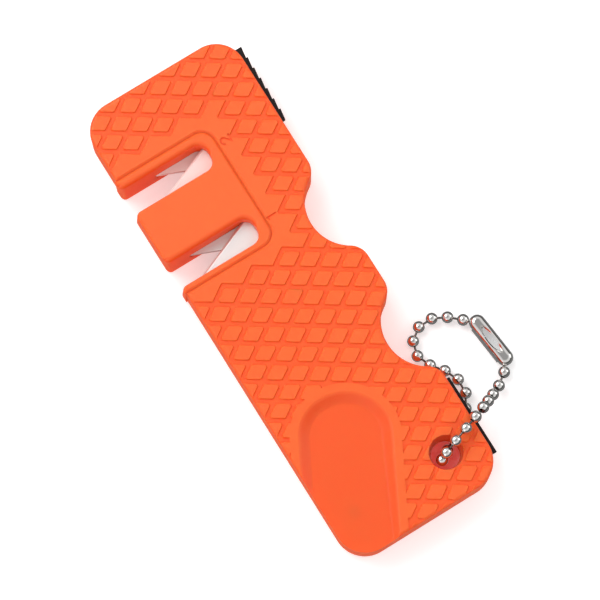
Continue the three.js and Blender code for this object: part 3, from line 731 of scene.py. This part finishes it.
# Blade cartridge
def slot_tool(centre_y):
    """A slot through the cartridge, flared at its left end, with a large round on its far wall."""
    def side(z, grow, way, half, corner):
        half = SLOT_REAR_HALF + (half - SLOT_REAR_HALF) * min(z, THICKNESS) / THICKNESS
        line = [(BLOCK_LEFT - MARGIN, half + SLOT_MOUTH)]
        line += arc(BLOCK_LEFT + SLOT_MOUTH, half + SLOT_MOUTH, SLOT_MOUTH - grow, -math.pi, -math.pi / 2)
        line += arc(SLOT_END - corner, half - corner, corner + grow, math.pi / 2, 0)
        return [(x, centre_y + way * y, z) for x, y in line]

    def ring(z, share):
        angle = math.pi / 2 * share
        sink = 1 - math.sin(angle)
        far, near = (rounding * (1 - math.cos(angle)) for rounding in (SLOT_FAR_ROUND, SLOT_NEAR_ROUND))
        lower = side(z - SLOT_NEAR_ROUND * sink, near, -1, SLOT_NEAR_HALF, SLOT_NEAR_CORNER)
        upper = side(z - SLOT_FAR_ROUND * sink, far, 1, SLOT_FAR_HALF, SLOT_FAR_CORNER)
        return lower + upper[::-1]

    rings = [ring(-MARGIN, 0)] + [ring(THICKNESS, i / SLOT_ROUND_STEPS) for i in range(SLOT_ROUND_STEPS + 1)]
    return loft("slot", rings + [ring(THICKNESS + MARGIN, 1)])


def plate_pocket(kind, is_front):
    left, right = -PLATE_LEAD - PLATE_GAP, PLATE_LENGTH - PLATE_LEAD + PLATE_GAP
    low = PAIR_GAP / 2 - PLATE_GAP
    bottom = -PLATE_WIDTH - PLATE_GAP
    outline = [(left, bottom), (right, bottom), (right, PLATE_GAP), (left, PLATE_GAP)]
    pocket = prism("pocket", outline, low, low + PLATE_THICK[kind] + 2 * PLATE_GAP)
    turn = Matrix.Rotation(PLATE_ANGLE, 4, "Z")
    if not is_front:
        turn = Matrix.Rotation(math.pi, 4, "X") @ turn
    pocket.data.transform(Matrix.Translation((PLATE_X[kind], SLOT_YS[kind], SEAM)) @ turn)
    return pocket


def cartridge():
    def ring(z, inset):
        edges = (BLOCK_LEFT + inset, BLOCK_RIGHT - inset, BLOCK_BOTTOM + inset, BLOCK_TOP - inset)
        return at(block_outline(*edges, BLOCK_CORNER - inset), z)

    rings = [ring(0, BLOCK_BREAK), ring(BLOCK_BREAK_DEPTH, 0), ring(THICKNESS - BLOCK_BREAK_DEPTH, 0),
             ring(THICKNESS, BLOCK_BREAK)]
    block = loft("cartridge", rings)
    flange = block_outline(FLANGE_LEFT, BLOCK_RIGHT + FLANGE_REACH, BLOCK_BOTTOM - FLANGE_REACH,
                           BLOCK_TOP + FLANGE_REACH, BLOCK_CORNER)
    change(block, "UNION", [prism("flange", flange, FLANGE_LOW, FLANGE_HIGH)])
    cuts = [slot_tool(y) for y in SLOT_YS.values()]
    cuts += [plate_pocket(kind, is_front) for kind in SLOT_YS for is_front in (True, False)]
    return change(block, "DIFFERENCE", cuts)


block = smoothed(cartridge(), PART_SMOOTH)
settle(block, "blade_block", "casing", ORANGE, ["blade_cartridge"])


# Plates and strips: their solids with broken edges
def with_broken_edges(node, width):
    shape = bmesh.new()
    shape.from_mesh(frame["nodes"][node].data)
    bmesh.ops.transform(shape, matrix=Matrix.Scale(1 / MM, 4), verts=shape.verts)
    bmesh.ops.remove_doubles(shape, verts=shape.verts, dist=MERGE)
    bmesh.ops.dissolve_limit(shape, angle_limit=FLAT, verts=shape.verts, edges=shape.edges)
    mesh = bpy.data.meshes.new(node)
    shape.to_mesh(mesh)
    shape.free()
    if "custom_normal" in mesh.attributes:
        mesh.attributes.remove(mesh.attributes["custom_normal"])
    thing = put(node, mesh)
    edges = thing.modifiers.new("edges", "BEVEL")
    edges.width, edges.segments = width, BREAK_STEPS
    edges.limit_method, edges.angle_limit = "ANGLE", BREAK_ANGLE
    return smoothed(plain(thing), PART_SMOOTH)


for kind, material in (("carbide", CARBIDE), ("ceramic", CERAMIC)):
    for side in ("front", "rear"):
        node = f"{kind}_plate_{side}"
        settle(with_broken_edges(node, PLATE_BREAK), f"{kind}_{side}", "casing", material, [node])
for node in ("toothed_strip", "plain_strip"):
    edge = with_broken_edges(node, STRIP_BREAK)
    settle(edge, node.replace("_strip", "_edge"), "casing", BLACK, [node])


# Screws: one turned profile with a cross recess, placed five times
def screw_shape():
    seat = HEAD_SINK + HEAD_HEIGHT
    profile = [(share * HEAD_RADIUS, HEAD_SINK + height) for share, height in HEAD_DOME]
    profile += [(HEAD_RADIUS, seat), (SHANK_CORE, seat)]
    z = seat + THREAD_PITCH
    while z < SHANK_TOP - THREAD_PITCH:
        profile += [(SHANK_CORE, z - THREAD_PITCH / 4), (SHANK_RADIUS, z), (SHANK_CORE, z + THREAD_PITCH / 4)]
        z += THREAD_PITCH
    profile += [(SHANK_CORE, SHANK_TOP - THREAD_PITCH / 2), (0.0, SHANK_TOP)]
    screw = loft("screw", [at(circle(0, 0, max(radius, MERGE)), height) for radius, height in profile])
    low, high = HEAD_SINK - MARGIN, HEAD_SINK + DRIVE_DEPTH
    across = [(-DRIVE_SPAN / 2, -DRIVE_WIDTH / 2), (DRIVE_SPAN / 2, -DRIVE_WIDTH / 2),
              (DRIVE_SPAN / 2, DRIVE_WIDTH / 2), (-DRIVE_SPAN / 2, DRIVE_WIDTH / 2)]
    return change(screw, "DIFFERENCE", [prism("drive", across, low, high),
                                        prism("drive", [(-y, x) for x, y in across], low, high)])


def screw_tree():
    base, given = node_tree("casing_screws", {"Screw": "Object", "Material": "Material"})
    screw = base.node("GeometryNodeObjectInfo", None, {"Object": given["Screw"]}, output="Geometry")
    turn = base.node("GeometryNodeInputNamedAttribute", {"data_type": "FLOAT"}, {"Name": "turn"})
    angles = base.node("ShaderNodeCombineXYZ", None, {"Z": turn})
    rotation = base.node("FunctionNodeEulerToRotation", None, {0: angles})
    placed = base.node("GeometryNodeInstanceOnPoints", None,
                       {"Points": given["Geometry"], "Instance": screw, "Rotation": rotation})
    return close_tree(base, placed, given["Material"])


def points_with(name, places, **attributes):
    """A bare mesh of points with one float or vector attribute for each name."""
    mesh = bpy.data.meshes.new(name)
    mesh.from_pydata(places, [], [])
    for attribute, values in attributes.items():
        if isinstance(values[0], float):
            mesh.attributes.new(attribute, "FLOAT", "POINT").data.foreach_set("value", values)
        else:
            flat = [number for value in values for number in value]
            mesh.attributes.new(attribute, "FLOAT_VECTOR", "POINT").data.foreach_set("vector", flat)
    return put(name, mesh)


screw = screw_shape()
turns = [FIRST_TURN + NEXT_TURN * i for i in range(len(SCREWS))]
screws = points_with("screws", [(x, y, 0.0) for x, y in SCREWS], turn=turns)
run_tree(screws, screw_tree(), {"Screw": screw, "Material": ZINC})
drop(screw)
settle(smoothed(screws, PART_SMOOTH), "casing_screws", "casing", ZINC,
       [f"shell_screw_{i + 1}" for i in range(len(SCREWS))])


# Ball chain: hollow balls, each with a rod whose knob sits in the next ball
def chain_tree():
    base, given = node_tree("ball_chain", {
        "Ball Radius": "Float", "Wall": "Float", "Knob Radius": "Float", "Material": "Material"})

    def attribute(name, kind):
        return base.node("GeometryNodeInputNamedAttribute", {"data_type": kind}, {"Name": name})

    aim = attribute("aim", "FLOAT_VECTOR")
    turn = base.node("FunctionNodeAlignRotationToVector", {"axis": "Z"}, {"Vector": aim})
    part = attribute("part", "FLOAT")

    def placed(number, instance):
        chosen = base.node("ShaderNodeMath", {"operation": "COMPARE"},
                           {0: part, 1: float(number), 2: KIND_MARGIN})
        return base.node("GeometryNodeInstanceOnPoints", None, {
            "Points": given["Geometry"], "Selection": chosen, "Instance": instance, "Rotation": turn,
            "Scale": attribute("size", "FLOAT_VECTOR")})

    def ball(radius, fineness):
        segments, rings = fineness
        return base.node("GeometryNodeMeshUVSphere", None,
                         {"Segments": segments, "Rings": rings, "Radius": radius})

    centred = base.node("GeometryNodeMeshCylinder", None,
                        {"Vertices": ROD_SIDES, "Radius": 1.0, "Depth": 1.0})
    bar = base.node("GeometryNodeTransform", None, {"Geometry": centred, "Translation": (0, 0, 0.5)})
    # The rods are marked for their darker colour, partly darker steel and partly painted shade
    wire = base.node("GeometryNodeStoreNamedAttribute", {"data_type": "FLOAT", "domain": "FACE"},
                     {"Geometry": bar, "Name": "wire", "Value": 1.0})
    shells = combined(base, "UNION", {"Mesh 2": [placed(BALL, ball(given["Ball Radius"], BALL_MESH))]})
    hollows = placed(BALL, ball(given["Ball Radius"] - given["Wall"], HIDDEN_MESH))
    open_balls = combined(base, "DIFFERENCE", {"Mesh 1": shells, "Mesh 2": [hollows, placed(MOUTH, bar)]})
    knobs = placed(KNOB, ball(given["Knob Radius"], HIDDEN_MESH))
    links = combined(base, "UNION", {"Mesh 2": [open_balls, placed(ROD, wire), knobs]})
    return close_tree(base, links, given["Material"])


def chain_points(name, numbers):
    rows = []
    for number in numbers:
        here = Vector(BALLS[number - 1])
        ahead = Vector(BALLS[number]) - here if number < len(BALLS) else here - Vector(BALLS[number - 2])
        rows.append((here, BALL, ahead, (1, 1, 1)))
        if number > 1:
            swing = math.radians(WIDE_TURNS.get(number, 0))
            back = Matrix.Rotation(swing / 2, 3, "Z") @ (Vector(BALLS[number - 2]) - here)
            half_swing = max(abs(swing), math.radians(ROD_TURN)) / 2
            mouth = BALL_RADIUS * math.sin(half_swing + math.asin(ROD_RADIUS / BALL_RADIUS) + MOUTH_MARGIN)
            rows.append((here, MOUTH, back, (mouth, mouth, BALL_RADIUS + MARGIN)))
        if number < len(BALLS):
            start = BALL_RADIUS - BALL_WALL
            size = (ROD_RADIUS, ROD_RADIUS, ahead.length - start)
            rows.append((here + ahead.normalized() * start, ROD, ahead, size))
            rows.append((here + ahead, KNOB, ahead, (1, 1, 1)))
    places, parts, aims, sizes = zip(*rows)
    return points_with(name, list(places), part=[float(part) for part in parts],
                       aim=[tuple(aim) for aim in aims], size=[tuple(map(float, size)) for size in sizes])


ball_chain = chain_tree()
for body, nodes in frame["record"]["behaviour"]["bodies"].items():
    links = [node for node in nodes if node.startswith("chain_link_")]
    chain = chain_points(body, [int(node[-2:]) for node in links])
    run_tree(chain, ball_chain, {
        "Ball Radius": BALL_RADIUS, "Wall": BALL_WALL, "Knob Radius": KNOB_RADIUS, "Material": NICKEL})
    settle(smoothed(chain, CHAIN_SMOOTH), "links_" + body, body, NICKEL, links)


# Connector: a folded sheet trough with a lens-shaped window
def stadium(length, width, z):
    points = arc(length / 2, 0, width / 2, -math.pi / 2, math.pi / 2)
    return at(points + arc(-length / 2, 0, width / 2, math.pi / 2, 1.5 * math.pi), z)


def lens(length, width, z):
    radius = (length * length + width * width) / (4 * width)
    reach = math.asin(length / (2 * radius))
    angles = [math.pi / 2 + reach * (i / LENS_STEPS - 1) for i in range(2 * LENS_STEPS)]
    upper = [(radius * math.cos(a), width / 2 - radius + radius * math.sin(a)) for a in angles]
    return at(upper + [(-x, -y) for x, y in upper], z)


def connector():
    last, first = Vector(BALLS[-1]), Vector(BALLS[0])
    span = (first - last).to_2d()
    straight = span.length + 2 * CONNECTOR_END

    def hull(name, drawn_in, low):
        rings = [stadium(straight, CONNECTOR_WIDTH - 2 * drawn_in, low)]
        for i in range(EDGE_STEPS + 1):
            angle = math.pi / 2 * i / EDGE_STEPS
            inset = drawn_in + (CONNECTOR_ROUND - drawn_in) * (1 - math.cos(angle))
            z = CONNECTOR_HEIGHT - drawn_in - (CONNECTOR_ROUND - drawn_in) * (1 - math.sin(angle))
            rings.append(stadium(straight, CONNECTOR_WIDTH - 2 * inset, z))
        return loft(name, rings)

    top = CONNECTOR_HEIGHT
    outer = (WINDOW_LENGTH, WINDOW_WIDTH)
    inner = (WINDOW_LENGTH - 2 * WINDOW_LIP, WINDOW_WIDTH - 2 * WINDOW_LIP)
    window = loft("window", [lens(*inner, 0), lens(*inner, top - CONNECTOR_SHEET), lens(*outer, top),
                             lens(*outer, top + MARGIN)])
    near, far = span.length / 2, straight / 2 + CONNECTOR_WIDTH
    ends = [prism("end", [(x, -far), (x + far, -far), (x + far, far), (x, far)], -MARGIN, ROD_SLOT_TOP)
            for x in (near, -near - far)]
    inside = hull("inside", CONNECTOR_SHEET, -MARGIN)
    trough = change(hull("connector", 0.0, 0.0), "DIFFERENCE", [inside, window, *ends])
    middle = (last + first) / 2
    turn = Matrix.Rotation(math.atan2(span.y, span.x), 4, "Z")
    trough.data.transform(Matrix.Translation((middle.x, middle.y, 0)) @ turn)
    return trough


clasp = smoothed(connector(), CHAIN_SMOOTH)
settle(clasp, "connector", "chain_clasp", NICKEL, ["chain_connector"])

# Floor, in metres, just under the object
FLOOR_REACH = 3.0
FLOOR_Z = -0.0002
# The floor glows evenly, and under the lanyard hole it gives off a dimmer red light: painted light bounced
# from the orange plastic
PALE = finish(
    "pale_floor", ((0.88, 0.88, 0.88), (0.92, 0.92, 0.92)), patch=3.0, rough=(0.7, 0.1),
    grain=(300.0, 0.05, 0.0001), glow=((0.3, 0.015, 0.01), (0.35, 0.35, 0.35)))
floor_ways = ((-1, -1), (1, -1), (1, 1), (-1, 1))
floor_corners = [(x * FLOOR_REACH, y * FLOOR_REACH, FLOOR_Z) for x, y in floor_ways]
floor_mesh = bpy.data.meshes.new("floor")
floor_mesh.from_pydata(floor_corners, [], [(0, 1, 2, 3)])
floor = put("floor", floor_mesh)
floor_mesh.materials.append(PALE)
floor.visible_glossy = False

# Camera, at the photo's angle; its lens, sensor, place and aim are in millimetres
FOCAL_LENGTH = 192.0
SENSOR = 36.0
NEAREST = 10.0
CAMERA_PLACE = (-65.9, -110.4, 681.9)
CAMERA_AIM = (1.13, -2.35, 10.0)
camera_data = bpy.data.cameras.new("camera")
camera_data.lens = FOCAL_LENGTH
camera_data.sensor_width = SENSOR
camera_data.clip_start = NEAREST * MM
camera = bpy.data.objects.new("camera", camera_data)
bpy.context.scene.collection.objects.link(camera)
camera.location = Vector(CAMERA_PLACE) * MM
aim = Vector(CAMERA_AIM) * MM
camera.rotation_euler = (camera.location - aim).to_track_quat("Z", "Y").to_euler()
bpy.context.scene.camera = camera

# A tent of light, dark at the horizon and dimmer at its top, and three soft lamps. The tent's greys are given
# by height, from 0 straight down to 1 straight up. A lamp's place and size are in metres, its power in watts.
TENT = ((0.44, 0.25), (0.5, 0.05), (0.62, 0.08), (0.7, 1.0), (0.88, 1.0), (0.96, 0.45))
TENT_AXIS = (-0.05, 0.12, 0.95)
TENT_STRENGTH = 0.95
LAMPS = (
    ("above", (-0.2, 0.6, 0.75), 0.7, 4.6),
    ("right", (0.8, -0.2, 0.35), 0.5, 1.2),
    ("left", (-0.75, -0.45, 0.35), 0.5, 1.0),
)
bpy.context.scene.view_settings.view_transform = "Standard"
world = bpy.data.worlds.new("studio")
world.use_nodes = True
world.node_tree.nodes.clear()
sky = Wire(world.node_tree)
outward = sky.node("ShaderNodeTexCoord", output="Generated")
height = sky.node("ShaderNodeVectorMath", {"operation": "DOT_PRODUCT"},
                  {0: outward, 1: TENT_AXIS}, output="Value")
stops = [(place, opaque((grey, grey, grey))) for place, grey in TENT]
tent = sky.node("ShaderNodeValToRGB", {"stops": stops}, {"Fac": 0.5 + 0.5 * height})
light = sky.node("ShaderNodeBackground", None, {"Color": tent, "Strength": TENT_STRENGTH})
sky.node("ShaderNodeOutputWorld", None, {"Surface": light})
bpy.context.scene.world = world

for name, place, size, power in LAMPS:
    lamp_data = bpy.data.lights.new(name, "AREA")
    lamp_data.size = size
    lamp_data.energy = power
    lamp = bpy.data.objects.new(name, lamp_data)
    lamp.location = place
    lamp.rotation_euler = Vector(place).to_track_quat("Z", "Y").to_euler()
    lamp.visible_camera = False
    bpy.context.scene.collection.objects.link(lamp)
